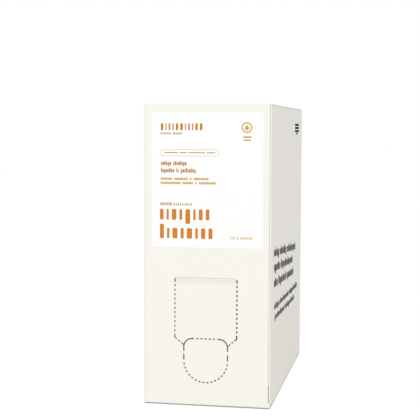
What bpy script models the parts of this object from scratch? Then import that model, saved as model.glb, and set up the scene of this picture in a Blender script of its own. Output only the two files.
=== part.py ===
"""Hand soap refill pack: a sealed carton of corrugated board, with a paper label on its front.

The front faces -Y, the base stands on Z = 0, and the origin is at the middle of the base.
The two outer flaps at the top and at the base grow from the front and back panels, so the
front edge is a fold there and the flaps' raw ends lie over the side panels.
"""

import math

import bmesh
import bpy
from mathutils import Matrix, Vector

# Outside of the carton
CARTON_WIDTH = 0.0810
CARTON_DEPTH = 0.1800
CARTON_HEIGHT = 0.1900

# Board and its folds
BOARD = 0.0015
FOLD_RADIUS = 0.0012
FOLD_STEPS = 4
RAW_END_SETBACK = 0.00025
RAW_END_STEPS = 2
SEAM_GAP = 0.0007
SCORE_WIDTH = 0.0005
SCORE_DEPTH = 0.00018

# Paper label, between the top edge and the door
LABEL_LEFT_MARGIN = 0.0050
LABEL_RIGHT_MARGIN = 0.0052
LABEL_TOP_MARGIN = 0.0051
LABEL_TO_DOOR = 0.0191
LABEL_CORNER = 0.0020
LABEL_PAPER = 0.00012
LABEL_GLUE = 0.00005

# Tap hole, a U shape near the base, drawn by its perforation
HOLE_SHIFT = -0.0005
HOLE_LOW = 0.0148
HOLE_WIDTH = 0.0280
HOLE_SIDE = 0.0086
HOLE_CORNER = 0.0053

# Tear-out door above the tap hole
SHOULDER_RUN = 0.0058
SHOULDER_RISE = 0.0006
SHOULDER_SLANT = 0.0049
DOOR_SIDE = 0.0380
CREASE_DEPTH = 0.0004
CREASE_LIP = 0.0002
CREASE_FADE = 0.0030

# Perforation
SLOT_WIDTH = 0.0006
DOOR_PITCH = 0.0029
DOOR_DASH = 0.0015
DOOR_TIE = 0.0007
SHOULDER_DASH = 0.0010
HOLE_PITCH = 0.00262
HOLE_DASH = 0.0014
HOLE_LONG_DASH = 0.0036
HOLE_LONG_TIE = 0.0016
HOLE_LOW_TIE = 0.0005
HOLE_TOP_CUT = 0.0012
ARC_STEP = math.radians(12)

# How far a cutter reaches past the surface that it opens
OVERCUT = 0.0010

# Heights and sides that follow from the sizes above
HALF_WIDTH = CARTON_WIDTH / 2
HALF_DEPTH = CARTON_DEPTH / 2
HOLE_RADIUS = HOLE_WIDTH / 2
HOLE_BEND = HOLE_LOW + HOLE_RADIUS
HOLE_SHOULDER = HOLE_BEND + HOLE_SIDE
HOLE_TOP = HOLE_SHOULDER + HOLE_CORNER
DOOR_LOW = HOLE_TOP + SHOULDER_RISE
DOOR_TOP = DOOR_LOW + DOOR_SIDE
DOOR_HALF = HOLE_RADIUS + SHOULDER_RUN

# Planes that an outline is drawn in: its X and Y become the two axes named, and it is
# extruded along the third
PLANE_XY = Matrix.Identity(4)
PLANE_XZ = Matrix.Rotation(math.radians(90), 4, "X")
PLANE_YZ = Matrix(((0, 0, 1, 0), (1, 0, 0, 0), (0, 1, 0, 0), (0, 0, 0, 1)))


def clear_scene():
    for thing in list(bpy.data.objects):
        bpy.data.objects.remove(thing, do_unlink=True)


def new_collection(name):
    collection = bpy.data.collections.new(name)
    bpy.context.scene.collection.children.link(collection)
    return collection


def material(name, srgb, roughness):
    """A Principled BSDF from a colour as it is read off the object, 0 to 255."""
    made = bpy.data.materials.new(name)
    made.use_nodes = True
    shader = made.node_tree.nodes["Principled BSDF"]
    shader.inputs["Base Color"].default_value = [*((level / 255) ** 2.2 for level in srgb), 1]
    shader.inputs["Roughness"].default_value = roughness
    shader.inputs["Metallic"].default_value = 0
    return made


def arc(centre, radius, start, end):
    """Points of an arc, from one angle to another in degrees, with both ends."""
    start, end = math.radians(start), math.radians(end)
    steps = max(2, math.ceil(abs(end - start) / ARC_STEP))
    angles = [start + (end - start) * i / steps for i in range(steps + 1)]
    return [Vector((centre[0] + radius * math.cos(a), centre[1] + radius * math.sin(a))) for a in angles]


def band(line, width):
    """The closed outline of a strip of this width that follows a line."""
    left, right = [], []
    for i, point in enumerate(line):
        before = (point - line[i - 1]).normalized() if i else None
        after = (line[i + 1] - point).normalized() if i + 1 < len(line) else None
        first, second = before or after, after or before
        along = (first + second).normalized()
        reach = width / 2 / max(along.dot(first), 0.3)
        across = Vector((-along.y, along.x)) * reach
        left.append(point + across)
        right.append(point - across)
    return left + right[::-1]


def rounded_rectangle(left, right, low, high, radius):
    corners = (
        ((right - radius, high - radius), 0),
        ((left + radius, high - radius), 90),
        ((left + radius, low + radius), 180),
        ((right - radius, low + radius), 270),
    )
    return [point for centre, start in corners for point in arc(centre, radius, start, start + 90)]


def prism(name, outlines, plane, middle, half_length, collection):
    """Flat outlines, filled and extruded to both sides of a plane, as one mesh object."""
    curve = bpy.data.curves.new(name, "CURVE")
    curve.dimensions = "2D"
    curve.fill_mode = "BOTH"
    curve.extrude = half_length
    for outline in outlines:
        spline = curve.splines.new("POLY")
        spline.points.add(len(outline) - 1)
        for slot, point in zip(spline.points, outline):
            slot.co = (point[0], point[1], 0, 1)
        spline.use_cyclic_u = True
    drawn = bpy.data.objects.new(name + "_outline", curve)
    drawn.matrix_world = Matrix.Translation(middle) @ plane
    collection.objects.link(drawn)
    bpy.context.view_layer.update()
    graph = bpy.context.evaluated_depsgraph_get()
    mesh = bpy.data.meshes.new_from_object(drawn.evaluated_get(graph))
    mesh.name = name
    bm = bmesh.new()
    bm.from_mesh(mesh)
    bmesh.ops.remove_doubles(bm, verts=bm.verts, dist=1e-6)
    bmesh.ops.recalc_face_normals(bm, faces=bm.faces)
    bm.to_mesh(mesh)
    bm.free()
    mesh.shade_flat()
    solid = bpy.data.objects.new(name, mesh)
    solid.matrix_world = drawn.matrix_world
    collection.objects.link(solid)
    bpy.data.objects.remove(drawn, do_unlink=True)
    bpy.data.curves.remove(curve)
    return solid


def box(name, low, high, collection):
    """A box from its lowest to its highest corner, as one mesh object."""
    low, high = Vector(low), Vector(high)
    bm = bmesh.new()
    bmesh.ops.create_cube(bm, size=1)
    bmesh.ops.scale(bm, vec=high - low, verts=bm.verts)
    bmesh.ops.translate(bm, vec=(low + high) / 2, verts=bm.verts)
    mesh = bpy.data.meshes.new(name)
    bm.to_mesh(mesh)
    bm.free()
    solid = bpy.data.objects.new(name, mesh)
    collection.objects.link(solid)
    return solid


def cut(body, cutter):
    cutter.hide_render = True
    cutter.display_type = "WIRE"
    boolean = body.modifiers.new(cutter.name, "BOOLEAN")
    boolean.operation = "DIFFERENCE"
    boolean.object = cutter


def is_folded(a, b):
    """Whether the carton's edge between two corners is a fold, and not a raw end or the glued joint."""
    if abs(a.z - b.z) > CARTON_HEIGHT / 2:
        return not (a.x < 0 < a.y)
    return abs(a.x - b.x) > CARTON_WIDTH / 2


def carton_body(collection):
    """The closed box, with rounded folds on three upright edges and along front and back."""
    body = box("carton", (-HALF_WIDTH, -HALF_DEPTH, 0), (HALF_WIDTH, HALF_DEPTH, CARTON_HEIGHT), collection)
    mesh = body.data
    weights = mesh.attributes.new("bevel_weight_edge", "FLOAT", "EDGE")
    for edge in mesh.edges:
        a, b = (mesh.vertices[i].co for i in edge.vertices)
        weights.data[edge.index].value = 1 if is_folded(a, b) else 0
    bevel = body.modifiers.new("folds", "BEVEL")
    bevel.limit_method = "WEIGHT"
    bevel.width = FOLD_RADIUS
    bevel.segments = FOLD_STEPS
    return body


def raw_end_outline(corner_x, corner_y, inner_y):
    """Where a raw end of the board lies over the next panel: it stops short of that panel's face.

    The outline is drawn at a corner of the carton, and takes in the board's thickness from
    corner_y to inner_y. A quarter arc rounds the panel that the raw end lies over.
    """
    inwards = -math.copysign(1, corner_x)
    down = math.copysign(1, inner_y - corner_y)
    points = [(corner_x + inwards * RAW_END_SETBACK, corner_y - down * OVERCUT)]
    for i in range(RAW_END_STEPS + 1):
        turn = math.radians(90) * i / RAW_END_STEPS
        sideways = RAW_END_SETBACK * (1 - math.sin(turn))
        drop = RAW_END_SETBACK * (1 - math.cos(turn))
        points.append((corner_x + inwards * sideways, inner_y + down * drop))
    points.append((corner_x - inwards * OVERCUT, inner_y + down * RAW_END_SETBACK))
    points.append((corner_x - inwards * OVERCUT, corner_y - down * OVERCUT))
    return points


def raw_end_cutters(collection):
    """The ends of the outer flaps over both side panels, and the back panel's glued joint."""
    flap_ends = []
    for side in (-1, 1):
        flap_ends.append(raw_end_outline(side * HALF_WIDTH, CARTON_HEIGHT, CARTON_HEIGHT - BOARD))
        flap_ends.append(raw_end_outline(side * HALF_WIDTH, 0, BOARD))
    joint = raw_end_outline(-HALF_WIDTH, HALF_DEPTH, HALF_DEPTH - BOARD)
    return [
        prism("flap_end_cut", flap_ends, PLANE_XZ, (0, 0, 0), HALF_DEPTH + OVERCUT, collection),
        prism(
            "glued_joint_cut", [joint], PLANE_XY,
            (0, 0, CARTON_HEIGHT / 2), CARTON_HEIGHT / 2 + OVERCUT, collection,
        ),
    ]


def seam_cutters(collection):
    """The gap where the two outer flaps meet across the middle, at the top and at the base."""
    reach, half = HALF_WIDTH + OVERCUT, SEAM_GAP / 2
    top = CARTON_HEIGHT - BOARD
    return [
        box("top_seam_cut", (-reach, -half, top), (reach, half, CARTON_HEIGHT + OVERCUT), collection),
        box("base_seam_cut", (-reach, -half, -OVERCUT), (reach, half, BOARD), collection),
    ]


def score_cutter(collection):
    """The valleys pressed into the front and back panels beside the upright folds."""
    valleys = []
    for side, face in ((-1, -1), (1, -1), (1, 1)):
        x = side * (HALF_WIDTH - FOLD_RADIUS - SCORE_WIDTH / 2)
        y = face * HALF_DEPTH
        depth = face * SCORE_DEPTH
        # The sides of the valley go on past the face at the same slope.
        widest = SCORE_WIDTH / 2 * (SCORE_DEPTH + OVERCUT) / SCORE_DEPTH
        valleys.append([(x - widest, y + face * OVERCUT), (x + widest, y + face * OVERCUT), (x, y - depth)])
    middle = CARTON_HEIGHT / 2
    return prism("score_cut", valleys, PLANE_XY, (0, 0, middle), middle + OVERCUT, collection)


def door_lines():
    """Centre lines of the slots at the sides and shoulders of the door."""
    count = max(1, round((DOOR_SIDE - DOOR_TIE) / DOOR_PITCH))
    pitch = (DOOR_SIDE - DOOR_TIE) / count
    lines = []
    for side in (-1, 1):
        x = HOLE_SHIFT + side * DOOR_HALF
        shoulder = Vector((x, DOOR_LOW))
        meeting = Vector((HOLE_SHIFT + side * HOLE_RADIUS, DOOR_LOW - SHOULDER_SLANT))
        slant = meeting - shoulder
        along = slant.normalized()
        for i in range(count):
            high = DOOR_TOP - DOOR_TIE - i * pitch
            low = high - DOOR_DASH
            if i < count - 1:
                lines.append([Vector((x, high)), Vector((x, low))])
            else:
                lines.append([Vector((x, high)), shoulder, shoulder + along * SHOULDER_DASH])
        middle = shoulder + slant / 2 + along * (SHOULDER_DASH / 2)
        lines.append([middle - along * (SHOULDER_DASH / 2), middle + along * (SHOULDER_DASH / 2)])
        lines.append([meeting - along * SHOULDER_DASH, meeting])
    return lines


def hole_lines():
    """Centre lines of the slots around the tap hole."""
    lines = []
    # Short dashes along the straight top
    straight = HOLE_RADIUS - HOLE_CORNER
    count = max(1, int((2 * (straight - HOLE_TOP_CUT)) / HOLE_PITCH))
    for i in range(count):
        x = HOLE_SHIFT + (i - (count - 1) / 2) * HOLE_PITCH
        lines.append([Vector((x - HOLE_DASH / 2, HOLE_TOP)), Vector((x + HOLE_DASH / 2, HOLE_TOP))])
    # A cut round each upper corner, and a long dash below it
    for side in (-1, 1):
        x = HOLE_SHIFT + side * HOLE_RADIUS
        centre = (HOLE_SHIFT + side * straight, HOLE_SHOULDER)
        first, last = (0, 90) if side > 0 else (180, 90)
        low = HOLE_BEND + HOLE_LOW_TIE + HOLE_LONG_DASH
        corner = [Vector((x, low + HOLE_LONG_TIE)), *arc(centre, HOLE_CORNER, first, last)]
        corner.append(Vector((centre[0] - side * HOLE_TOP_CUT, HOLE_TOP)))
        lines.append(corner)
        lines.append([Vector((x, low)), Vector((x, low - HOLE_LONG_DASH))])
    # Short dashes round the half circle below
    step = math.degrees(HOLE_PITCH / HOLE_RADIUS)
    half_dash = math.degrees(HOLE_DASH / HOLE_RADIUS) / 2
    count = int((180 - half_dash) / step)
    for i in range(count):
        angle = 270 + (i - (count - 1) / 2) * step
        lines.append(arc((HOLE_SHIFT, HOLE_BEND), HOLE_RADIUS, angle - half_dash, angle + half_dash))
    return lines


def perforation_cutter(name, lines, collection):
    """Slots along these lines, cut through the board of the front panel."""
    slots = [band(line, SLOT_WIDTH) for line in lines]
    return prism(name, slots, PLANE_XZ, (0, -HALF_DEPTH, 0), BOARD, collection)


def crease_cutter(collection):
    """The crease that the door bends at: a pressed line that fades out down the door."""
    wedge = [
        (-HALF_DEPTH - OVERCUT, DOOR_TOP + CREASE_LIP / 2),
        (-HALF_DEPTH, DOOR_TOP + CREASE_LIP / 2),
        (-HALF_DEPTH + CREASE_DEPTH, DOOR_TOP - CREASE_LIP / 2),
        (-HALF_DEPTH, DOOR_TOP - CREASE_FADE),
        (-HALF_DEPTH - OVERCUT, DOOR_TOP - CREASE_FADE),
    ]
    return prism("crease_cut", [wedge], PLANE_YZ, (HOLE_SHIFT, 0, 0), DOOR_HALF, collection)


def carton(parts, cutters):
    cuts = [
        *raw_end_cutters(cutters),
        *seam_cutters(cutters),
        score_cutter(cutters),
        crease_cutter(cutters),
        perforation_cutter("door_cut", door_lines(), cutters),
        perforation_cutter("tap_hole_cut", hole_lines(), cutters),
    ]
    body = carton_body(parts)
    body.data.materials.append(material("uncoated_cream_board", (247, 244, 237), 0.85))
    for cutter in cuts:
        cut(body, cutter)
    return body


def front_label(parts):
    outline = rounded_rectangle(
        -HALF_WIDTH + LABEL_LEFT_MARGIN,
        HALF_WIDTH - LABEL_RIGHT_MARGIN,
        DOOR_TOP + LABEL_TO_DOOR,
        CARTON_HEIGHT - LABEL_TOP_MARGIN,
        LABEL_CORNER,
    )
    middle = (0, -HALF_DEPTH - LABEL_GLUE - LABEL_PAPER / 2, 0)
    label = prism("front_label", [outline], PLANE_XZ, middle, LABEL_PAPER / 2, parts)
    label.data.shade_smooth()
    label.data.set_sharp_from_angle(angle=math.radians(30))
    label.data.materials.append(material("white_label_paper", (254, 254, 253), 0.6))
    return label


clear_scene()
pack = new_collection("hand_soap_refill_pack")
tools = new_collection("cutters")
front_label(pack)
carton(pack, tools)
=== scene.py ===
# %% [markdown]
# A sealed refill carton for hand soap.
# The real pack is one blank of thin corrugated board, printed cream, folded into a tall box and
# glued shut. A paper label is stuck on the front, and a door over the tap hole is perforated in
# the board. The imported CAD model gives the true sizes, so it is loaded first and never moved.
# What this script adds is the surface: crisp folds, raw ends, cut slots, paper and ink.

# %% Load the frame
import math

import bmesh
import bpy
from mathutils import Matrix, Vector


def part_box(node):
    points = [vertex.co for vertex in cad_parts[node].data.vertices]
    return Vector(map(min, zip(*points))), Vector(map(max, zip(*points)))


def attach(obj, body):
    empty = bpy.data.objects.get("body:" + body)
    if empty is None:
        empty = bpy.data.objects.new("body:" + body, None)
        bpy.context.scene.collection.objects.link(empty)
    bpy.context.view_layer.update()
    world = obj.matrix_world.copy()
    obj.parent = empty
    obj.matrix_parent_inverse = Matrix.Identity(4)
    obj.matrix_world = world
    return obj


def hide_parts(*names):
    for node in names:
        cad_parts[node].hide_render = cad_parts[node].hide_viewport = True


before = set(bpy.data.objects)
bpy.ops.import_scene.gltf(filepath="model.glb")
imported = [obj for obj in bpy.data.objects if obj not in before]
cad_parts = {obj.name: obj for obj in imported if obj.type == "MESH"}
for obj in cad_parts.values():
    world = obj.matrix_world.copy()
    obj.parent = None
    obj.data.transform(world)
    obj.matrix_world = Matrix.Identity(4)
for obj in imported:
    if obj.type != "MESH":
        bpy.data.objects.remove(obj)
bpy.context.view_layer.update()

MM = 0.001
INK_ROOM = 0.03 * MM
LOW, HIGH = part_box("carton")
HIGH.x -= INK_ROOM  # the ink on the right side lies in this last bit of the model's box
LABEL_LOW, LABEL_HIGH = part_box("front_label")
print("carton, mm:", [round(side / MM, 2) for side in HIGH - LOW])
print("label, mm:", [round(side / MM, 2) for side in LABEL_HIGH - LABEL_LOW])

# %% [markdown]
# The camera stands a little to the right of the front and just below the height of the top, which
# is why the top doesn't show. Its place and lens were worked out from the six corners of the
# carton in the picture. A long lens keeps the upright folds nearly parallel.

# %% Camera
CAMERA_PLACE = Vector((0.12726, -0.76035, 0.17357))
CAMERA_TURN = math.radians(10.586)
CAMERA_DIP = math.radians(4.146)
CAMERA_ROLL = math.radians(0.228)
LENS_MM = 93.98
SENSOR_MM = 36


def camera_axes(turn, dip, roll):
    """The camera's right, up and backward directions."""
    forward = Vector((-math.sin(turn) * math.cos(dip), math.cos(turn) * math.cos(dip), -math.sin(dip)))
    right = Vector((math.cos(turn), math.sin(turn), 0))
    up = right.cross(forward)
    rolled_right = right * math.cos(roll) + up * math.sin(roll)
    rolled_up = up * math.cos(roll) - right * math.sin(roll)
    return rolled_right, rolled_up, -forward


lens = bpy.data.cameras.new("camera")
lens.lens = LENS_MM
lens.sensor_width = SENSOR_MM
lens.clip_start = 0.01
camera = bpy.data.objects.new("camera", lens)
bpy.context.scene.collection.objects.link(camera)
axes = Matrix(camera_axes(CAMERA_TURN, CAMERA_DIP, CAMERA_ROLL)).transposed().to_4x4()
camera.matrix_world = Matrix.Translation(CAMERA_PLACE) @ axes
bpy.context.scene.camera = camera
print("camera is", round((CAMERA_PLACE - (LOW + HIGH) / 2).length, 3), "m from the pack's middle")

# %% [markdown]
# Materials are node graphs. Colours are read off the object as sRGB hex, and Blender computes in
# linear light, so one function turns them. One more small function adds a node with its settings
# and its links, which keeps each graph short enough to read.

# %% Colour and node helpers


def linear(code):
    """An sRGB hex colour as linear RGBA."""
    levels = [int(code[i:i + 2], 16) / 255 for i in (0, 2, 4)]
    return (*(v / 12.92 if v <= 0.04045 else ((v + 0.055) / 1.055) ** 2.4 for v in levels), 1)


def add(tree, kind, inputs=None, **settings):
    """A node of this kind. inputs gives its sockets, by name or by number. Each gets a value, or a
    link from the socket of another node."""
    node = tree.nodes.new(kind)
    for name, value in settings.items():
        setattr(node, name, value)
    for socket, value in (inputs or {}).items():
        if isinstance(value, bpy.types.NodeSocket):
            tree.links.new(value, node.inputs[socket])
        else:
            node.inputs[socket].default_value = value
    return node


def new_material(name):
    """An empty node graph: the tree, and the material that holds it."""
    material = bpy.data.materials.new(name)
    material.use_nodes = True
    material.node_tree.nodes.clear()
    return material, material.node_tree


# A Mix node has sockets for numbers, vectors and colours. On the colour ones, these are its two
# colours and its result.
FIRST, SECOND, MIXED_COLOUR = 6, 7, 2
print("mid grey, linear:", [round(v, 3) for v in linear("808080")])

# %% [markdown]
# The stage is a white floor under a white sky, as in a catalogue picture. For the camera the floor
# adds a glow of its own under a thin share of real shading, so it reads white and still holds a
# soft shadow. Where something covers the floor closely the glow is dimmed, which paints a contact
# shadow: it keeps the narrow gap under the pack's front edge dark, and the painted shadow reaches a
# little further out in front, where the edge stands clear of the floor. Everything else sees a plain
# white floor and a softer sky. Most of the light comes from all round, and one large lamp behind
# the camera makes the front of the pack brighter than its side.

# %% Floor and sky
FLOOR_SIZE = 6.0
FLOOR_WHITE = "F2F2F2"
FLOOR_GLOW = 0.77
FLOOR_SHADING = "9A9A9A"
FLOOR_BELOW = 0.02 * MM
CONTACT = 0.8 * MM
CONTACT_FRONT = 2.4 * MM
CONTACT_BLEND = 1.0 * MM  # one reach passes into the other this far on each side of the front edge
CONTACT_POWER = 1.7
SKY_LIGHT = 0.785


def seen_directly(tree):
    """1 for what the camera sees, also by mirror or through glass, and 0 for light that bounces."""
    path = add(tree, "ShaderNodeLightPath").outputs
    direct = {0: path["Is Camera Ray"], 1: path["Is Glossy Ray"]}
    mirrored = add(tree, "ShaderNodeMath", direct, operation="MAXIMUM")
    through = {0: mirrored.outputs[0], 1: path["Is Transmission Ray"]}
    return add(tree, "ShaderNodeMath", through, operation="MAXIMUM").outputs[0]


def floor_paint():
    material, tree = new_material("white_floor_paint")
    plain = add(tree, "ShaderNodeBsdfDiffuse", {"Color": linear(FLOOR_WHITE)})
    shading = add(tree, "ShaderNodeBsdfDiffuse", {"Color": linear(FLOOR_SHADING)})
    where = add(tree, "ShaderNodeTexCoord").outputs["Object"]
    along = add(tree, "ShaderNodeSeparateXYZ", {"Vector": where}).outputs["Y"]
    reach = add(tree, "ShaderNodeMapRange", {
        "Value": along, "From Min": LOW.y - CONTACT_BLEND, "From Max": LOW.y + CONTACT_BLEND,
        "To Min": CONTACT_FRONT, "To Max": CONTACT,
    })
    # Ambient occlusion dims the glow near the pack: a painted contact shadow, reaching further out in
    # front.
    painted_contact_shade = add(tree, "ShaderNodeAmbientOcclusion", {"Distance": reach.outputs[0]}, samples=16)
    open_air = {0: painted_contact_shade.outputs["AO"], 1: CONTACT_POWER}
    deeper = add(tree, "ShaderNodeMath", open_air, operation="POWER")
    faded = {0: deeper.outputs[0], 1: FLOOR_GLOW}
    strength = add(tree, "ShaderNodeMath", faded, operation="MULTIPLY")
    white = {"Color": (1, 1, 1, 1), "Strength": strength.outputs[0]}
    glow = add(tree, "ShaderNodeEmission", white)
    lit = add(tree, "ShaderNodeAddShader", {0: shading.outputs[0], 1: glow.outputs[0]})
    shaders = {0: seen_directly(tree), 1: plain.outputs[0], 2: lit.outputs[0]}
    both = add(tree, "ShaderNodeMixShader", shaders)
    add(tree, "ShaderNodeOutputMaterial", {"Surface": both.outputs[0]})
    return material


bm = bmesh.new()
bmesh.ops.create_grid(bm, x_segments=1, y_segments=1, size=FLOOR_SIZE / 2)
bmesh.ops.translate(bm, vec=(0, 0, -FLOOR_BELOW), verts=bm.verts)
floor_mesh = bpy.data.meshes.new("floor")
bm.to_mesh(floor_mesh)
bm.free()
floor = bpy.data.objects.new("floor", floor_mesh)
floor.data.materials.append(floor_paint())
bpy.context.scene.collection.objects.link(floor)

world = bpy.data.worlds.new("sky")
world.use_nodes = True
sky = world.node_tree
sky.nodes.clear()
lighting = add(sky, "ShaderNodeBackground", {"Color": (1, 1, 1, 1), "Strength": SKY_LIGHT})
backdrop = add(sky, "ShaderNodeBackground", {"Color": (1, 1, 1, 1), "Strength": 1.0})
shaders = {0: seen_directly(sky), 1: lighting.outputs[0], 2: backdrop.outputs[0]}
chosen = add(sky, "ShaderNodeMixShader", shaders)
add(sky, "ShaderNodeOutputWorld", {"Surface": chosen.outputs[0]})
bpy.context.scene.world = world
bpy.context.scene.view_settings.view_transform = "Standard"
print("floor glow", FLOOR_GLOW, "sky", SKY_LIGHT)

# %% Soft lamp
LAMP_PLACE = Vector((0.12, -2.1, 0.55))
LAMP_SIZE = 1.1
LAMP_WATTS = 10.6

lamp_data = bpy.data.lights.new("soft_box", "AREA")
lamp_data.shape = "SQUARE"
lamp_data.size = LAMP_SIZE
lamp_data.energy = LAMP_WATTS
lamp = bpy.data.objects.new("soft_box", lamp_data)
towards = (LOW + HIGH) / 2 - LAMP_PLACE
aim = towards.to_track_quat("-Z", "Y").to_matrix().to_4x4()
lamp.matrix_world = Matrix.Translation(LAMP_PLACE) @ aim
bpy.context.scene.collection.objects.link(lamp)
print("lamp is", round(towards.length, 2), "m away")

# %% [markdown]
# Corrugated board for a small retail box is about 1.5 mm thick. Its outer sheet is white paper
# with a matt cream print coat. The flutes inside run upright and are about 3.3 mm apart, and they
# show through the outer sheet as a very faint washboard. Paper also has a cloudy look from the way
# its fibres settle, and a fine tooth. All three are too faint to see from a step away, as on the
# real pack, and they show when the camera comes close.

# %% Cream board
CREAM = "F9F6F0"
CREAM_DEEP = "F6F3EB"
FLUTE_PITCH = 3.3 * MM
FIBRE_SIZE = 0.35 * MM
CLOUD_SIZE = 18 * MM
WASHBOARD_RISE = 0.006 * MM
TOOTH_RISE = 0.03 * MM
SIDEWAYS = 0.7  # a face whose normal has more than this share along X is a side


def across_the_flutes(tree, where):
    """A distance that grows across the flutes on every panel: along X on front, back, top and
    base, and along Y on the sides."""
    place = add(tree, "ShaderNodeSeparateXYZ", {"Vector": where}).outputs
    normal = add(tree, "ShaderNodeNewGeometry").outputs["Normal"]
    facing = add(tree, "ShaderNodeSeparateXYZ", {"Vector": normal}).outputs
    sideways = add(tree, "ShaderNodeMath", {0: facing["X"]}, operation="ABSOLUTE")
    steep = {0: sideways.outputs[0], 1: SIDEWAYS}
    on_side = add(tree, "ShaderNodeMath", steep, operation="GREATER_THAN")
    numbers = {0: on_side.outputs[0], 2: place["X"], 3: place["Y"]}
    return add(tree, "ShaderNodeMix", numbers, data_type="FLOAT").outputs[0]


def washboard(tree, where):
    """Soft ridges, one for each flute, from -1 to 1."""
    turns = {0: across_the_flutes(tree, where), 1: 2 * math.pi / FLUTE_PITCH}
    angle = add(tree, "ShaderNodeMath", turns, operation="MULTIPLY")
    return add(tree, "ShaderNodeMath", {0: angle.outputs[0]}, operation="SINE").outputs[0]


def cream_board(name, shade=None):
    """The printed face. shade is (colour, low, fullest, high, left): a painted shade, a darker colour
    that starts at the low height, is full at the next, and falls back to the share left at the high
    one."""
    material, tree = new_material(name)
    where = add(tree, "ShaderNodeTexCoord").outputs["Object"]
    cloud = add(tree, "ShaderNodeTexNoise", {"Vector": where, "Scale": 1 / CLOUD_SIZE, "Detail": 3.0})
    grain = add(tree, "ShaderNodeTexNoise", {"Vector": where, "Scale": 1 / FIBRE_SIZE, "Detail": 4.0})
    fibre = grain.outputs["Fac"]
    coats = {0: cloud.outputs["Fac"], FIRST: linear(CREAM), SECOND: linear(CREAM_DEEP)}
    colour = add(tree, "ShaderNodeMix", coats, data_type="RGBA").outputs[MIXED_COLOUR]
    if shade:
        shade_colour, low, fullest, high, left = shade
        height = add(tree, "ShaderNodeSeparateXYZ", {"Vector": where}).outputs["Z"]
        span = {"Value": height, "From Min": low, "From Max": fullest}
        rise = add(tree, "ShaderNodeMapRange", span, interpolation_type="SMOOTHSTEP")
        span = {"Value": height, "From Min": fullest, "From Max": high, "To Min": 1.0, "To Max": left}
        fall = add(tree, "ShaderNodeMapRange", span)
        slopes = {0: rise.outputs[0], 1: fall.outputs[0]}
        share = add(tree, "ShaderNodeMath", slopes, operation="MULTIPLY")
        coats = {0: share.outputs[0], FIRST: colour, SECOND: linear(shade_colour)}
        colour = add(tree, "ShaderNodeMix", coats, data_type="RGBA").outputs[MIXED_COLOUR]
    speck = add(tree, "ShaderNodeMapRange", {
        "Value": fibre, "From Min": 0.25, "From Max": 0.75, "To Min": 0.985, "To Max": 1.015,
    })
    specks = {0: colour, "Scale": speck.outputs[0]}
    grained = add(tree, "ShaderNodeVectorMath", specks, operation="SCALE")
    rough = add(tree, "ShaderNodeMapRange", {"Value": fibre, "To Min": 0.72, "To Max": 0.9})
    ridges = add(tree, "ShaderNodeBump", {
        "Height": washboard(tree, where), "Strength": 1.0, "Distance": WASHBOARD_RISE,
    })
    tooth = add(tree, "ShaderNodeBump", {
        "Height": fibre, "Strength": 0.5, "Distance": TOOTH_RISE, "Normal": ridges.outputs[0],
    })
    shader = add(tree, "ShaderNodeBsdfPrincipled", {
        "Base Color": grained.outputs[0], "Roughness": rough.outputs[0], "Normal": tooth.outputs[0],
        "IOR": 1.45, "Specular IOR Level": 0.25,
    })
    add(tree, "ShaderNodeOutputMaterial", {"Surface": shader.outputs[0]})
    return material


BOARD_FACE = cream_board("cream_coated_corrugated_board")
print("made", BOARD_FACE.name)

# %% [markdown]
# Where the board is cut, its inside shows: uncoated bleached pulp, a little greyer than the face.
# Pressing a fold breaks the coat and leaves a dull line, and the colour of these lines is also
# darkened as painted shade for the valleys they lie in, a little on the softer ones and more on the
# hard one. Behind the perforation is the inside of the box, which is grey board and looks dark only
# because little light gets there.

# %% Cut board, pressed board and the inside
PULP = "F5F2EA"
PULP_SHADE = "ECE8DE"
# Pressed and softly pressed lines: dull board colours, darkened further as painted shade for their
# valleys.
PRESSED_AND_SHADED = "DAD6CC"
PRESSED_SHADE = "D0CCC1"
SOFT_PRESSED_AND_SHADED = "F0EDE5"
SOFT_SHADE = "ECE8DF"
INSIDE = "8A867E"
INSIDE_SHADE = "736F68"
SLOT_WALL = "A7A298"
SLOT_WALL_SHADE = "8E897F"
PULP_ROUGHNESS = 0.95
PULP_TOOTH_RISE = 0.05 * MM


def plain_pulp(name, light, dark, size):
    """Bare paper pulp: two close colours in a noise of this size, with a tooth."""
    material, tree = new_material(name)
    where = add(tree, "ShaderNodeTexCoord").outputs["Object"]
    grain = {"Vector": where, "Scale": 1 / size, "Detail": 5.0, "Roughness": 0.7}
    fibre = add(tree, "ShaderNodeTexNoise", grain).outputs["Fac"]
    tones = {0: fibre, FIRST: linear(light), SECOND: linear(dark)}
    colour = add(tree, "ShaderNodeMix", tones, data_type="RGBA").outputs[MIXED_COLOUR]
    uneven = {"Height": fibre, "Strength": 0.6, "Distance": PULP_TOOTH_RISE}
    tooth = add(tree, "ShaderNodeBump", uneven)
    shader = add(tree, "ShaderNodeBsdfPrincipled", {
        "Base Color": colour, "Roughness": PULP_ROUGHNESS, "Normal": tooth.outputs[0],
        "Specular IOR Level": 0.1,
    })
    add(tree, "ShaderNodeOutputMaterial", {"Surface": shader.outputs[0]})
    return material


RAW_END = plain_pulp("raw_board_end", PULP, PULP_SHADE, size=0.4 * MM)
FOLD_LINE_AND_SHADE = plain_pulp("pressed_fold_line_and_painted_shade", PRESSED_AND_SHADED, PRESSED_SHADE, size=0.6 * MM)
SOFT_FOLD_SHADE = plain_pulp("softly_pressed_line_and_painted_shade", SOFT_PRESSED_AND_SHADED, SOFT_SHADE, size=0.6 * MM)
CUT_WALL = plain_pulp("cut_board_wall", SLOT_WALL, SLOT_WALL_SHADE, size=0.3 * MM)
BOX_INSIDE = plain_pulp("grey_board_inside_the_box", INSIDE, INSIDE_SHADE, size=2 * MM)
print("cut faces use", RAW_END.name, FOLD_LINE_AND_SHADE.name, CUT_WALL.name, BOX_INSIDE.name)

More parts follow.
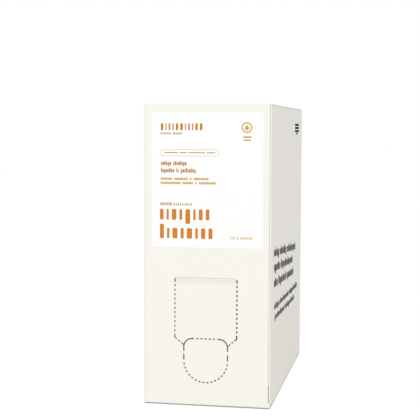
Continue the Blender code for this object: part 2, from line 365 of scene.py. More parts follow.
# %% [markdown]
# The box starts as a cube at the size of the CAD carton. Three upright edges and the four edges
# along the front and the back are folds, so they are bevelled round. The edges along the sides
# are raw ends of the outer flaps, and the fourth upright edge is the glued joint, so these stay
# sharp and are stepped later.

# %% Folded body
FOLD_RADIUS = 0.6 * MM
FOLD_SEGMENTS = 8
ROUND = 0.5  # the profile with which a bevel follows a circle
SIZE = HIGH - LOW
MIDDLE = (LOW + HIGH) / 2


def is_fold(edge):
    """Whether this edge of the box is a fold of the blank."""
    a, b = (corner.co for corner in edge.verts)
    if abs(a.z - b.z) > SIZE.z / 2:
        return not (a.x < MIDDLE.x and a.y > MIDDLE.y)
    return abs(a.x - b.x) > SIZE.x / 2


def to_object(bm, name, *materials):
    """A mesh object at the origin, with its faces outwards."""
    bmesh.ops.recalc_face_normals(bm, faces=bm.faces)
    mesh = bpy.data.meshes.new(name)
    bm.to_mesh(mesh)
    bm.free()
    for material in materials:
        mesh.materials.append(material)
    made = bpy.data.objects.new(name, mesh)
    bpy.context.scene.collection.objects.link(made)
    return made


bm = bmesh.new()
bmesh.ops.create_cube(bm, size=1)
bmesh.ops.scale(bm, vec=SIZE, verts=bm.verts)
bmesh.ops.translate(bm, vec=MIDDLE, verts=bm.verts)
bmesh.ops.bevel(
    bm, geom=[edge for edge in bm.edges if is_fold(edge)], offset=FOLD_RADIUS, affect="EDGES",
    segments=FOLD_SEGMENTS, profile=ROUND, material=-1,
)
carton = to_object(bm, "board_carton", BOARD_FACE)
print("folded body has", len(carton.data.polygons), "faces")

# %% [markdown]
# A die cuts and creases the flat blank. Here its rules are solids that are taken away from the
# body with the Boolean modifier, and each leaves its own material on the faces that it cuts. A
# box serves for the raw ends and the seam. A rule that runs on through bends is drawn as a flat
# strip: an edge is extruded straight on and spun round each bend, and the strip then gets depth.

# %% Helpers for what is cut away
OVERCUT = 1.0 * MM
BEND_STEP = 7  # the most degrees that one step of a bend turns


def cut_box(name, low, high, material):
    """A box between two corners, as a cutter."""
    low, high = Vector(low), Vector(high)
    bm = bmesh.new()
    bmesh.ops.create_cube(bm, size=1)
    bmesh.ops.scale(bm, vec=high - low, verts=bm.verts)
    bmesh.ops.translate(bm, vec=(low + high) / 2, verts=bm.verts)
    return to_object(bm, name, material)


def strip(bm, start, heading, moves, width):
    """A flat strip in the XY plane that starts at a point and follows straight runs and bends.

    A move is ("run", length) or ("turn", radius, degrees), with turns to the left positive.
    """
    place, angle = Vector((*start, 0)), math.radians(heading)
    across = Vector((-math.sin(angle), math.cos(angle), 0)) * width / 2
    ends = [bm.verts.new(place + across), bm.verts.new(place - across)]
    edge = bm.edges.new(ends)
    for move in moves:
        forward = Vector((math.cos(angle), math.sin(angle), 0))
        if move[0] == "run":
            grown = bmesh.ops.extrude_edge_only(bm, edges=[edge])["geom"]
            moved = [item for item in grown if isinstance(item, bmesh.types.BMVert)]
            bmesh.ops.translate(bm, vec=forward * move[1], verts=moved)
            edge = next(item for item in grown if isinstance(item, bmesh.types.BMEdge))
            place = place + forward * move[1]
        else:
            radius, turn = move[1], math.radians(move[2])
            left = Vector((-forward.y, forward.x, 0)) * math.copysign(1, turn)
            centre = place + left * radius
            steps = max(2, math.ceil(abs(math.degrees(turn)) / BEND_STEP))
            grown = bmesh.ops.spin(
                bm, geom=[*edge.verts, edge], cent=centre, axis=(0, 0, 1), angle=turn,
                steps=steps, use_merge=False, use_duplicate=False,
            )["geom_last"]
            edge = next(item for item in grown if isinstance(item, bmesh.types.BMEdge))
            place = centre + Matrix.Rotation(turn, 3, "Z") @ (place - centre)
            angle += turn


def deepen(bm, depth):
    """Flat faces become solids of this depth, half on each side of their plane."""
    bmesh.ops.translate(bm, vec=(0, 0, -depth / 2), verts=bm.verts)
    grown = bmesh.ops.extrude_face_region(bm, geom=bm.faces[:])["geom"]
    moved = [item for item in grown if isinstance(item, bmesh.types.BMVert)]
    bmesh.ops.translate(bm, vec=(0, 0, depth), verts=moved)


def bar(name, corners, middle, length, plane, *materials):
    """A three-sided bar: its corners are drawn in XY, and the plane turns it into place."""
    bm = bmesh.new()
    made = bmesh.ops.create_circle(bm, cap_ends=True, segments=3, radius=1)["verts"]
    for corner, (x, y) in zip(made, corners):
        corner.co = (x, y, 0)
    deepen(bm, length)
    bmesh.ops.translate(bm, vec=(0, 0, middle), verts=bm.verts)
    bmesh.ops.transform(bm, matrix=plane, verts=bm.verts)
    return to_object(bm, name, *materials)


def facing_front(y):
    """The plane at this y that turns a drawing in XY to face the front."""
    return Matrix.Translation((0, y, 0)) @ Matrix.Rotation(math.radians(90), 4, "X")


# These turn a drawing in XY to face out of the front panel, or out of the right side.
FRONT_PLANE = facing_front(LOW.y)
TURN_TO_X = Matrix(((0, 0, 1, 0), (1, 0, 0, 0), (0, 1, 0, 0), (0, 0, 0, 1)))
RIGHT_PLANE = Matrix.Translation((HIGH.x, 0, 0)) @ TURN_TO_X
print("drawing planes at y", round(LOW.y, 4), "and x", round(HIGH.x, 4))

# %% Raw ends and seam
BOARD = 1.5 * MM
SETBACK = 0.25 * MM
SEAM = 0.7 * MM
LEVELS = (("top", HIGH.z - BOARD, HIGH.z + OVERCUT), ("base", -OVERCUT, BOARD))
cutters = []
for side in (-1, 1):
    face = side * SIZE.x / 2
    inner, outer = sorted((face - side * SETBACK, face + side * OVERCUT))
    for level, low, high in LEVELS:
        cutters.append(cut_box(
            f"flap_end_{level}_{side}", (inner, LOW.y - OVERCUT, low),
            (outer, HIGH.y + OVERCUT, high), RAW_END,
        ))
cutters.append(cut_box(
    "glued_joint", (LOW.x - OVERCUT, HIGH.y - BOARD, -OVERCUT),
    (LOW.x + SETBACK, HIGH.y + OVERCUT, HIGH.z + OVERCUT), RAW_END,
))
for level, low, high in LEVELS:
    cutters.append(cut_box(
        f"seam_{level}", (LOW.x - OVERCUT, -SEAM / 2, low), (HIGH.x + OVERCUT, SEAM / 2, high), RAW_END,
    ))
print(len(cutters), "cutters for raw ends and seams")

# %% [markdown]
# Beside each upright fold the creasing rule leaves a fine valley in the narrow panels. The valleys
# take a darker colour, partly the dull pressed board and partly painted shade. On the front right
# the valley is deepest and its colour darkest, so it shows as a dull line, and at its foot the board
# has started to part, which shows as a short dark crack.

# %% Fold lines
SCORE_WIDTH = 0.38 * MM
SCORE_INSET = 1.0 * MM
SCORE_OUT = SIZE.x / 2 - SCORE_INSET
HARD_SCORE = 0.24 * MM
SOFT_SCORE = 0.12 * MM
CRACK_WIDTH = 0.37 * MM
CRACK_SHIFT = 0.08 * MM
CRACK_OUT = SCORE_OUT + CRACK_SHIFT
CRACK_DEPTH = 0.8 * MM
CRACK_LOW = 3.5 * MM
CRACK_HIGH = 14.5 * MM


def score(name, x, y, depth, material, low):
    """A V-shaped valley in the front or the back panel, from this height to the top."""
    inwards = 1 if y < 0 else -1
    mouth = SCORE_WIDTH * (depth + OVERCUT) / depth / 2
    outside = y - inwards * OVERCUT
    corners = ((x - mouth, outside), (x + mouth, outside), (x, y + inwards * depth))
    high = HIGH.z + OVERCUT
    return bar(name, corners, (low + high) / 2, high - low, Matrix.Identity(4), material)


# Their colours paint shade into the valleys, softly on two of them and strongly on the front right.
cutters += [
    score("score_front_left", -SCORE_OUT, LOW.y, SOFT_SCORE, SOFT_FOLD_SHADE, -OVERCUT),
    score("score_front_right", SCORE_OUT, LOW.y, HARD_SCORE, FOLD_LINE_AND_SHADE, CRACK_LOW),
    score("score_back_right", SCORE_OUT, HIGH.y, SOFT_SCORE, SOFT_FOLD_SHADE, -OVERCUT),
]

bm = bmesh.new()
strip(bm, (CRACK_OUT, CRACK_LOW), 90, [("run", CRACK_HIGH - CRACK_LOW)], CRACK_WIDTH)
deepen(bm, 2 * CRACK_DEPTH)
bmesh.ops.transform(bm, matrix=FRONT_PLANE, verts=bm.verts)
cutters.append(to_object(bm, "fold_crack", CUT_WALL))
print("valleys at x =", round(SCORE_OUT / MM, 2), "mm")

# %% [markdown]
# The base flaps hang from the front and back folds and meet in the middle, where the full bag
# presses them down. So the pack stands on the middle of its base, and a narrow dark gap shows
# under its front edge.

# %% Gap under the front and back
GAP_HEIGHT = 0.52 * MM
GAP_RUN = 22 * MM
for name, edge, inwards in (("gap_front", LOW.y, 1), ("gap_back", HIGH.y, -1)):
    rise = GAP_HEIGHT * (GAP_RUN + OVERCUT) / GAP_RUN
    corners = (
        (edge - inwards * OVERCUT, -OVERCUT), (edge - inwards * OVERCUT, rise),
        (edge + inwards * (GAP_RUN + OVERCUT * GAP_RUN / GAP_HEIGHT), -OVERCUT),
    )
    cutters.append(bar(name, corners, 0, SIZE.x + 2 * OVERCUT, TURN_TO_X, BOARD_FACE))
print("front edge stands", round(GAP_HEIGHT / MM, 2), "mm above the floor")

# %% [markdown]
# The tear-out door and the tap hole are cut by toothed rules: each tooth leaves a slot through the
# board, and the ties between slots hold the door until it is pressed in. Down the right side of
# this door the slots gape a little wider. A solid rule cuts the upper corners of the tap hole all
# the way round. The outlines are those of the CAD model, and the slots on them lie within a
# millimetre of its own.

# %% Perforation sizes
DOOR_SLOT_LEFT = 0.68 * MM
DOOR_SLOT_RIGHT = 0.85 * MM
SHOULDER_SLOT = 0.66 * MM
HOLE_SLOT = 0.75 * MM
HOLE_X = -0.5 * MM
HOLE_FOOT = 14.8 * MM
HOLE_RADIUS = 14.0 * MM
HOLE_SIDE = 8.6 * MM
HOLE_CORNER = 5.3 * MM
HOLE_BEND = HOLE_FOOT + HOLE_RADIUS
HOLE_SHOULDER = HOLE_BEND + HOLE_SIDE
HOLE_TOP = HOLE_SHOULDER + HOLE_CORNER
DOOR_HALF = HOLE_RADIUS + 5.8 * MM
DOOR_LOW = HOLE_TOP + 0.6 * MM
DOOR_TOP = DOOR_LOW + 38.0 * MM
SHOULDER_DROP = 4.9 * MM
DOOR_DASHES = 13
DOOR_DASH = 1.5 * MM
FIRST_DASH = 2.2 * MM
DOOR_TIE = 0.7 * MM
HOLE_PITCH = 2.62 * MM
HOLE_DASH = 1.4 * MM
LONG_DASH = 4.0 * MM
LONG_TIE_LEFT = 1.6 * MM
LONG_TIE_RIGHT = 2.2 * MM
LOW_TIE = 0.1 * MM
TOP_CUT = 1.2 * MM
# The last slot down each side of the door bends round the corner and runs on along the shoulder.
CORNER_RISE = 0.3 * MM
CORNER_BEND = 0.8 * MM
CORNER_TAIL = 1.3 * MM
# More slots along the shoulder, in mm: how far from the corner they start, and their length.
SHOULDER_SLOTS = ((2.8, 1.6), (5.5, 2.1))
print("door top at", round(DOOR_TOP / MM, 1), "mm, tap hole", round(2 * HOLE_RADIUS / MM, 1), "mm wide")

# %% Door slots
bm = bmesh.new()
pitch = (DOOR_TOP - DOOR_LOW - DOOR_TIE) / DOOR_DASHES
for side, slot in ((-1, DOOR_SLOT_LEFT), (1, DOOR_SLOT_RIGHT)):
    x = HOLE_X + side * DOOR_HALF
    slant = Vector((HOLE_X + side * HOLE_RADIUS - x, -SHOULDER_DROP))
    heading = math.degrees(math.atan2(slant.y, slant.x))
    for i in range(DOOR_DASHES):
        high = DOOR_TOP - DOOR_TIE - i * pitch
        moves = [("run", FIRST_DASH)]
        if i > 0:
            high -= FIRST_DASH - DOOR_DASH
            moves = [("run", DOOR_DASH)]
        if i == DOOR_DASHES - 1:
            moves = [
                ("run", high - DOOR_LOW - CORNER_RISE), ("turn", CORNER_BEND, heading + 90),
                ("run", CORNER_TAIL),
            ]
        strip(bm, (x, high), -90, moves, slot)
    corner = Vector((x, DOOR_LOW))
    for start, length in SHOULDER_SLOTS:
        place = corner + slant.normalized() * start * MM
        strip(bm, place, heading, [("run", length * MM)], SHOULDER_SLOT)
deepen(bm, 2 * BOARD)
bmesh.ops.transform(bm, matrix=FRONT_PLANE, verts=bm.verts)
door_slots = to_object(bm, "door_slots", CUT_WALL, BOX_INSIDE)
print("door slots have", len(door_slots.data.polygons), "faces")
print("each shoulder is", round(slant.length / MM, 2), "mm long")

# %% Tap hole slots
bm = bmesh.new()
straight = HOLE_RADIUS - HOLE_CORNER
count = int(2 * (straight - TOP_CUT) / HOLE_PITCH)
for i in range(count):
    x = HOLE_X + (i - (count - 1) / 2) * HOLE_PITCH - HOLE_DASH / 2
    strip(bm, (x, HOLE_TOP), 0, [("run", HOLE_DASH)], HOLE_SLOT)
for side, tie in ((-1, LONG_TIE_LEFT), (1, LONG_TIE_RIGHT)):
    x = HOLE_X + side * HOLE_RADIUS
    long_top = HOLE_BEND + LOW_TIE + LONG_DASH
    strip(bm, (x, long_top), -90, [("run", LONG_DASH)], HOLE_SLOT)
    cut_start = long_top + tie
    around = [("run", HOLE_SHOULDER - cut_start), ("turn", HOLE_CORNER, side * 90), ("run", TOP_CUT)]
    strip(bm, (x, cut_start), 90, around, HOLE_SLOT)
step = math.degrees(HOLE_PITCH / HOLE_RADIUS)
half_dash = math.degrees(HOLE_DASH / HOLE_RADIUS) / 2
count = int((180 - half_dash) / step)
for i in range(count):
    angle = 270 + (i - (count - 1) / 2) * step - half_dash
    turned = math.radians(angle)
    start = (HOLE_X + HOLE_RADIUS * math.cos(turned), HOLE_BEND + HOLE_RADIUS * math.sin(turned))
    strip(bm, start, angle + 90, [("turn", HOLE_RADIUS, 2 * half_dash)], HOLE_SLOT)
deepen(bm, 2 * BOARD)
bmesh.ops.transform(bm, matrix=FRONT_PLANE, verts=bm.verts)
hole_slots = to_object(bm, "tap_hole_slots", CUT_WALL, BOX_INSIDE)
print("tap hole slots have", len(hole_slots.data.polygons), "faces,", count, "round the half circle")

# %% [markdown]
# Each slot goes through the board, and behind it is the inside of the box. So the far end of
# every slot, which lies a board's thickness behind the front, takes the inside's material, and
# its walls keep the colour of cut board.

# %% Far ends of the slots
CLOSE = 0.01 * MM


def give_far_ends_the_inside(cutter, depth):
    """The faces that lie this deep behind the front panel take the object's second material."""
    for face in cutter.data.polygons:
        if abs(face.center.y - (LOW.y + depth)) < CLOSE:
            face.material_index = 1


for cutter in (door_slots, hole_slots):
    give_far_ends_the_inside(cutter, BOARD)
    cutters.append(cutter)
    far_ends = sum(face.material_index for face in cutter.data.polygons)
    print(cutter.name, "have", far_ends, "faces at their far ends")

# %% [markdown]
# The door has no slots along its top. There the board is creased, so that it bends. The press
# leaves a dent with a steep upper lip that fades out below. Below the lip the coat carries a painted
# shadow, fullest a little under the lip and fading out further down, and the lip itself takes the
# dull colour of the pressed fold line, which paints shade into it.

# %% Door crease
CREASE_DEPTH = 0.4 * MM
CREASE_LIP = 0.36 * MM
CREASE_FADE = 5.6 * MM
# A painted shadow under the lip: below the crease the coat turns towards this colour.
CREASE_SHADOW_TONE = "EEEBE3"
CREASE_FULLEST = 1.7 * MM
CREASE_LEFT = 0.3
COAT_WITH_PAINTED_SHADOW = cream_board("cream_board_painted_shadow_below_crease", (
    CREASE_SHADOW_TONE, DOOR_TOP - CREASE_FADE, DOOR_TOP - CREASE_FULLEST, DOOR_TOP, CREASE_LEFT,
))


def crease():
    """A wedge across the door: steep above, and fading out over a few millimetres below."""
    back = LOW.y - OVERCUT
    deep, grow = LOW.y + CREASE_DEPTH, (CREASE_DEPTH + OVERCUT) / CREASE_DEPTH
    tip = DOOR_TOP - CREASE_LIP / 2
    corners = ((deep, tip), (back, tip + CREASE_LIP * grow), (back, tip - CREASE_FADE * grow))
    made = bar("door_crease", corners, HOLE_X, 2 * DOOR_HALF, TURN_TO_X, COAT_WITH_PAINTED_SHADOW, FOLD_LINE_AND_SHADE)
    # The steep upper face of the dent takes the pressed fold line's colour: painted shade under the
    # lip.
    for face in made.data.polygons:
        if face.center.z > tip and abs(face.normal.x) < 0.5:
            face.material_index = 1
    return made


cutters.append(crease())
print("crease across the door at", round(DOOR_TOP / MM, 1), "mm")

# %% [markdown]
# Now the cutters are taken away from the body, in one stack of Boolean modifiers that is then made
# final. Normals weighted by the size of the faces keep the flat panels flat to the eye, right up
# to the round folds.

# %% Cut the body
SHARP_ABOVE = 28  # degrees


def take_away(body, tools):
    """Cuts every tool out of the body, and keeps only the finished mesh."""
    for tool in tools:
        boolean = body.modifiers.new(tool.name, "BOOLEAN")
        boolean.operation = "DIFFERENCE"
        boolean.object = tool
        boolean.material_mode = "TRANSFER"
    graph = bpy.context.evaluated_depsgraph_get()
    finished = bpy.data.meshes.new_from_object(body.evaluated_get(graph))
    if len(finished.polygons) < len(body.data.polygons):
        raise RuntimeError("a cut went wrong and took the body away")
    body.modifiers.clear()
    rough = body.data
    body.data = finished
    bpy.data.meshes.remove(rough)
    for tool in tools:
        bpy.data.objects.remove(tool, do_unlink=True)


def shade_by_angle(piece, degrees):
    """Smooth over folds, sharp at cuts, with the flat panels kept flat to the eye."""
    piece.data.shade_smooth()
    piece.data.set_sharp_from_angle(angle=math.radians(degrees))
    weighted = piece.modifiers.new("flat_panels", "WEIGHTED_NORMAL")
    weighted.mode = "FACE_AREA"
    weighted.keep_sharp = True


take_away(carton, cutters)
shade_by_angle(carton, SHARP_ABOVE)
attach(carton, "root")
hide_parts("carton")
print("carton has", len(carton.data.polygons), "faces and", [m.name for m in carton.data.materials])

# %% [markdown]
# The label is smooth white paper, about a tenth of a millimetre thick, with round corners. It lies
# flat on the board. The print on the real label is lettering, which this part leaves off. Bars in
# the same inks stand in its place, so the label keeps its layout and its weight of colour.

# %% Label paper
LABEL_CORNER = 2.0 * MM
PAPER = 0.08 * MM
PAPER_SINK = 0.02 * MM
LABEL_BACK = LABEL_HIGH.y + PAPER_SINK
LABEL_FACE = LABEL_BACK - PAPER
LABEL_WHITE = "FEFEFE"
LABEL_SHADE = "FCFCFB"
LABEL_CLOUD = 9 * MM
LABEL_FIBRE = 0.25 * MM
LABEL_TOOTH_RISE = 0.015 * MM


def label_paper():
    material, tree = new_material("smooth_white_label_paper")
    where = add(tree, "ShaderNodeTexCoord").outputs["Object"]
    cloud = add(tree, "ShaderNodeTexNoise", {"Vector": where, "Scale": 1 / LABEL_CLOUD, "Detail": 3.0})
    grain = add(tree, "ShaderNodeTexNoise", {"Vector": where, "Scale": 1 / LABEL_FIBRE, "Detail": 4.0})
    fibre = grain.outputs["Fac"]
    whites = {0: cloud.outputs["Fac"], FIRST: linear(LABEL_WHITE), SECOND: linear(LABEL_SHADE)}
    colour = add(tree, "ShaderNodeMix", whites, data_type="RGBA").outputs[MIXED_COLOUR]
    rough = add(tree, "ShaderNodeMapRange", {"Value": fibre, "To Min": 0.5, "To Max": 0.66})
    uneven = {"Height": fibre, "Strength": 0.35, "Distance": LABEL_TOOTH_RISE}
    tooth = add(tree, "ShaderNodeBump", uneven)
    shader = add(tree, "ShaderNodeBsdfPrincipled", {
        "Base Color": colour, "Roughness": rough.outputs[0], "Normal": tooth.outputs[0],
        "IOR": 1.45, "Specular IOR Level": 0.2,
    })
    add(tree, "ShaderNodeOutputMaterial", {"Surface": shader.outputs[0]})
    return material


def block(bm, left, right, low, high, radius, segments=3):
    """A flat rectangle in XY with round corners."""
    made = bmesh.ops.create_grid(bm, x_segments=1, y_segments=1, size=0.5)["verts"]
    bmesh.ops.scale(bm, vec=(right - left, high - low, 1), verts=made)
    bmesh.ops.translate(bm, vec=((left + right) / 2, (low + high) / 2, 0), verts=made)
    bmesh.ops.bevel(
        bm, geom=made, offset=radius, affect="VERTICES", segments=segments, profile=ROUND,
        material=-1,
    )


bm = bmesh.new()
block(bm, LABEL_LOW.x, LABEL_HIGH.x, LABEL_LOW.z, LABEL_HIGH.z, LABEL_CORNER, 8)
deepen(bm, PAPER)
bmesh.ops.transform(bm, matrix=facing_front(LABEL_BACK - PAPER / 2), verts=bm.verts)
label = to_object(bm, "paper_label", label_paper())
shade_by_angle(label, SHARP_ABOVE)
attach(label, "root")
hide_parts("front_label")
print("label paper from y", round(LABEL_BACK / MM, 3), "to", round(LABEL_FACE / MM, 3), "mm")

# %% [markdown]
# Ink lies on the paper as a very thin film. Each colour is one piece: flat shapes on one plane,
# given a thickness of a few hundredths of a millimetre, partly sunk in the paper so that no gap
# shows. Offset ink is a little glossier than the paper and never quite even, so its colour is
# mixed by a fine noise.

# %% Inks
INK = 0.03 * MM
INK_SINK = 0.01 * MM
MOTTLE_SIZE = 0.8 * MM


def ink(name, strong, weak, roughness=(0.42, 0.6), gloss=0.3):
    """A printed film: two close tones of one colour, and a range of roughness."""
    material, tree = new_material(name)
    where = add(tree, "ShaderNodeTexCoord").outputs["Object"]
    mottle = add(tree, "ShaderNodeTexNoise", {"Vector": where, "Scale": 1 / MOTTLE_SIZE, "Detail": 4.0})
    uneven = mottle.outputs["Fac"]
    tones = {0: uneven, FIRST: linear(strong), SECOND: linear(weak)}
    colour = add(tree, "ShaderNodeMix", tones, data_type="RGBA").outputs[MIXED_COLOUR]
    span = {"Value": uneven, "To Min": roughness[0], "To Max": roughness[1]}
    rough = add(tree, "ShaderNodeMapRange", span)
    shader = add(tree, "ShaderNodeBsdfPrincipled", {
        "Base Color": colour, "Roughness": rough.outputs[0], "IOR": 1.48, "Specular IOR Level": gloss,
    })
    add(tree, "ShaderNodeOutputMaterial", {"Surface": shader.outputs[0]})
    return material


INKS = {
    "orange": ink("orange_offset_ink", "D27A10", "D7831F"),
    "ochre": ink("ochre_offset_ink", "BC7904", "C48312"),
    "caramel": ink("caramel_offset_ink", "CC9C52", "D2A45E"),
    "tan": ink("tan_offset_ink", "DFC193", "E4C99F"),
    "olive": ink("olive_offset_ink", "A2963A", "ABA04A"),
    # The cream box itself is printed with a watery ink that soaks in and dries matt.
    "black": ink("black_flexo_ink", "1C1B1A", "252422", (0.8, 0.92), 0.05),
}
drawings = {name: bmesh.new() for name in INKS}
print("inks:", ", ".join(INKS))

# %% [markdown]
# A line of print is a row of words, and a word is a run of upright bars. Large lines get bars as
# wide as a bold stroke, some of them taller or deeper than the rest. From a step away this has the
# rhythm of print. In the very smallest lines a word is one solid bar, which is all the eye can
# tell.

# %% Bars, words and lines
LABEL_LEFT, LABEL_TOP = LABEL_LOW.x, LABEL_HIGH.z
# Patterns of bar widths, in mm
BOLD = (2.3, 1.4, 2.9, 1.8, 3.1, 1.5, 2.5)
MEDIUM = (0.7, 1.1, 0.6, 0.9)
CAPS = (1.45, 0.65, 0.95, 0.75, 1.35)
SMALL = (0.75, 0.5, 0.9, 0.6)
SIDE_BARS = (3.6, 4.4, 2.2, 4.0, 5.0, 2.8)
SIDE_GAP = 1.0
# Patterns of how far bars go below the foot and above the height, as shares of the height
EVEN = ((0, 0),)
FALLING = ((0, 0), (0, 0), (0, 0), (0, 0), (0.36, 0), (0, 0), (0, 0))
RISING = ((0, 0.38), (0, 0), (0, 0), (0, 0), (0, 0), (0, 0), (0, 0), (0, 0))
MIXED = ((0, 0), (0, 0), (0, 0.38), (0, 0), (0.34, 0), (0, 0), (0, 0), (0, 0.3))
BAR_ROUNDING = 0.3  # the radius of a bar's corners, as a share of its shorter side


def line(bm, spans, foot, height, bars=None, gap=0, swings=EVEN, turn=0, segments=2):
    """A line of print. spans are the words' ends in mm, from left to right.

    bars are widths in mm, used in turn and stretched so that the run fills its word. swings say how
    far each bar goes below the foot and above the height, as shares of the height. turn picks where
    both patterns start.
    """
    for start, end in spans:
        length, widths = end - start, []
        while bars and sum(widths) + gap * len(widths) < length - bars[0] / 2:
            widths.append(bars[(turn + len(widths)) % len(bars)])
        widths = widths or [length]
        stretch = (length - gap * (len(widths) - 1)) / sum(widths)
        x = start
        for i, width in enumerate(widths):
            below, above = swings[(turn + i) % len(swings)]
            width *= stretch
            low, high = foot - below * height, foot + height * (1 + above)
            radius = BAR_ROUNDING * min(width, height)
            block(bm, x * MM, (x + width) * MM, low * MM, high * MM, radius * MM, segments)
            x += width + gap
        turn += len(widths)


def on_label(colour, spans, depth, height, *style, **more):
    """A line on the label. Lengths are in mm from its left edge, and depth is down from its top."""
    left, foot = LABEL_LEFT / MM, LABEL_TOP / MM - depth
    placed = [(left + start, left + end) for start, end in spans]
    line(drawings[colour], placed, foot, height, *style, **more)


# Maker's line, and a small line under it
on_label("ochre", ((6.0, 32.5),), 11.2, 4.3, CAPS, 1.35)
on_label("olive", ((6.0, 12.3), (13.5, 19.5)), 13.8, 1.2, SMALL, 0.3)
# Text in the pill
on_label("olive", ((8.2, 17.0), (18.0, 22.6), (23.6, 34.3), (35.3, 40.8)), 25.45, 0.6)
# Two lines for what is in the pack
on_label("ochre", ((6.1, 12.6), (14.0, 22.4)), 33.1, 2.1, MEDIUM, 0.25, MIXED)
on_label("ochre", ((6.1, 14.6), (16.0, 17.4), (18.8, 28.3)), 37.6, 2.1, MEDIUM, 0.25, MIXED, turn=2)
# Two small lines
on_label("caramel", ((5.9, 13.4), (14.7, 23.2), (24.6, 25.6), (27.0, 36.5)), 42.3, 1.5, SMALL, 0.15)
on_label("caramel", ((5.9, 18.6), (19.9, 26.6), (28.0, 29.0), (30.4, 41.2)), 44.9, 1.5, SMALL, 0.15)
# The line above the title
on_label("caramel", ((5.7, 13.3),), 58.3, 1.9, MEDIUM, 0.3)
on_label("olive", ((14.4, 25.9),), 58.3, 1.6, SMALL, 0.7)
# The title, in two rows
on_label("orange", ((5.5, 37.1),), 67.3, 6.8, BOLD, 2.0, FALLING, segments=4)
on_label("orange", ((5.5, 39.1),), 79.0, 6.6, BOLD, 2.0, RISING, segments=4)
# How much is in the pack, lower right
on_label("tan", ((50.5, 53.2), (54.4, 55.4), (56.6, 64.1)), 78.9, 1.7, SMALL, 0.35)
print("orange has", len(drawings["orange"].faces), "bars, ochre has", len(drawings["ochre"].faces))

# %% [markdown]
# Two small signs stand among the lines: a pill drawn as a thin outline, and a round badge. Both
# begin as one filled face. An inset makes the line, and the face left inside it is deleted. A drop
# stands in the badge, and two short lines under it.

# %% Pill and badge
PILL_LEFT, PILL_RIGHT = 6.1 * MM, 42.8 * MM
PILL_DOWN = 23.0 * MM
PILL_HEIGHT = 4.4 * MM
PILL_CORNER = 1.5 * MM
PILL_LINE = 0.35 * MM
BADGE_ALONG, BADGE_DOWN = 60.5 * MM, 9.4 * MM
BADGE_LINE = 1.4 * MM
BADGE_RADIUS = 3.6 * MM
DROP_RADIUS = 1.25 * MM
DROP_POINT = 0.6
DROP_DOWN = 0.35 * MM


def hollow(bm, before, line_width):
    """Keeps only a line of this width of the faces drawn since then."""
    bm.normal_update()
    faces = [face for face in bm.faces if face not in before]
    bmesh.ops.inset_region(
        bm, faces=faces, thickness=line_width, use_even_offset=True, use_boundary=True,
    )
    bmesh.ops.delete(bm, geom=faces, context="FACES")


def drop(bm, x, y, radius, point):
    """A drop: a circle whose upper half is drawn up to a point, by this share of the radius."""
    made = bmesh.ops.create_circle(bm, cap_ends=True, segments=32, radius=radius)["verts"]
    for corner in made:
        rise = max(corner.co.y / radius, 0)
        corner.co.x *= 1 - rise ** 3
        corner.co.y *= 1 + point * rise
    bmesh.ops.translate(bm, vec=(x, y, 0), verts=made)


tan = drawings["tan"]
before = set(tan.faces)
pill_top = LABEL_TOP - PILL_DOWN
block(
    tan, LABEL_LEFT + PILL_LEFT, LABEL_LEFT + PILL_RIGHT, pill_top - PILL_HEIGHT, pill_top,
    PILL_CORNER, 5,
)
hollow(tan, before, PILL_LINE)

badge_x, badge_y = LABEL_LEFT + BADGE_ALONG, LABEL_TOP - BADGE_DOWN
before = set(tan.faces)
ring = bmesh.ops.create_circle(tan, cap_ends=True, segments=64, radius=BADGE_RADIUS)["verts"]
bmesh.ops.translate(tan, vec=(badge_x, badge_y, 0), verts=ring)
hollow(tan, before, BADGE_LINE)
drop(drawings["caramel"], badge_x, badge_y - DROP_DOWN, DROP_RADIUS, DROP_POINT)
on_label("caramel", ((58.1, 63.4),), 15.8, 1.0)
on_label("caramel", ((58.4, 63.0),), 17.7, 0.9)
print("tan drawing has", len(tan.faces), "faces")

# %% [markdown]
# The drawings in the label's inks become pieces, one for each colour. Each is made solid and laid
# on the paper, with its back sunk in a little.

# %% Print on the label
LABEL_INK_PLANE = facing_front(LABEL_FACE + INK_SINK - INK / 2)


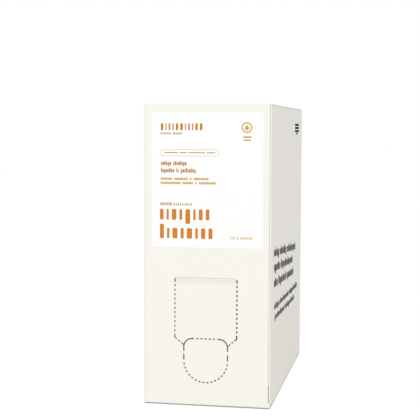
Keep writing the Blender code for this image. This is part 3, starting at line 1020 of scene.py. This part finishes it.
def print_piece(name, colour, plane):
    """The drawing in one ink, thickened and laid on its plane."""
    bm = drawings[colour]
    deepen(bm, INK)
    bmesh.ops.transform(bm, matrix=plane, verts=bm.verts)
    piece = to_object(bm, name, INKS[colour])
    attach(piece, "root")
    return piece


for colour in ("orange", "ochre", "caramel", "tan", "olive"):
    piece = print_piece(f"label_print_{colour}", colour, LABEL_INK_PLANE)
    print(piece.name, len(piece.data.polygons), "faces")

# %% [markdown]
# The right side carries five lines of dark print in its lower half, and a small mark near the top,
# towards the back. The lettering is left off here too, and bars take its place. The lines aren't
# quite level: each runs a little down to the back, the upper three more than the others. So each
# is drawn level and then turned about its middle. In place of the mark stands a stack of three
# wide bars on a short one.

# %% Side print
# For each line: the height of its foot at its middle and its own height in mm, how many degrees it
# falls to the back, and its words' ends
SIDE_LINES = (
    (89.8, 4.4, 3.8, ((-75, -50), (-46, -8), (-4, 50))),
    (81.2, 4.4, 3.5, ((-74, -41), (-37, 32))),
    (71.4, 4.4, 2.9, ((-74, -55), (-51, -9), (-5, 38))),
    (57.7, 3.1, 1.5, ((-71, -44), (-41, 8), (11, 63))),
    (50.8, 3.1, 1.8, ((-69, -18), (-15, 44))),
)
# For each bar of the mark: the height of its foot, its own height and its two ends, in mm
MARK_BARS = (
    (172.6, 1.6, (41, 68)), (174.9, 1.6, (41, 68)), (177.2, 1.6, (41, 68)), (170.8, 1.4, (49, 58)),
)
side = drawings["black"]
for i, (foot, height, fall, spans) in enumerate(SIDE_LINES):
    before = set(side.verts)
    line(side, spans, foot, height, SIDE_BARS, SIDE_GAP, MIXED, turn=3 * i)
    drawn = [corner for corner in side.verts if corner not in before]
    middle = Vector(((spans[0][0] + spans[-1][1]) / 2, foot, 0)) * MM
    slope = Matrix.Rotation(-math.radians(fall), 3, "Z")
    bmesh.ops.rotate(side, cent=middle, matrix=slope, verts=drawn)
for foot, height, span in MARK_BARS:
    line(side, (span,), foot, height)
on_side = Matrix.Translation((INK / 2 - INK_SINK, 0, 0)) @ RIGHT_PLANE
piece = print_piece("side_print_black", "black", on_side)
print(piece.name, len(piece.data.polygons), "faces")
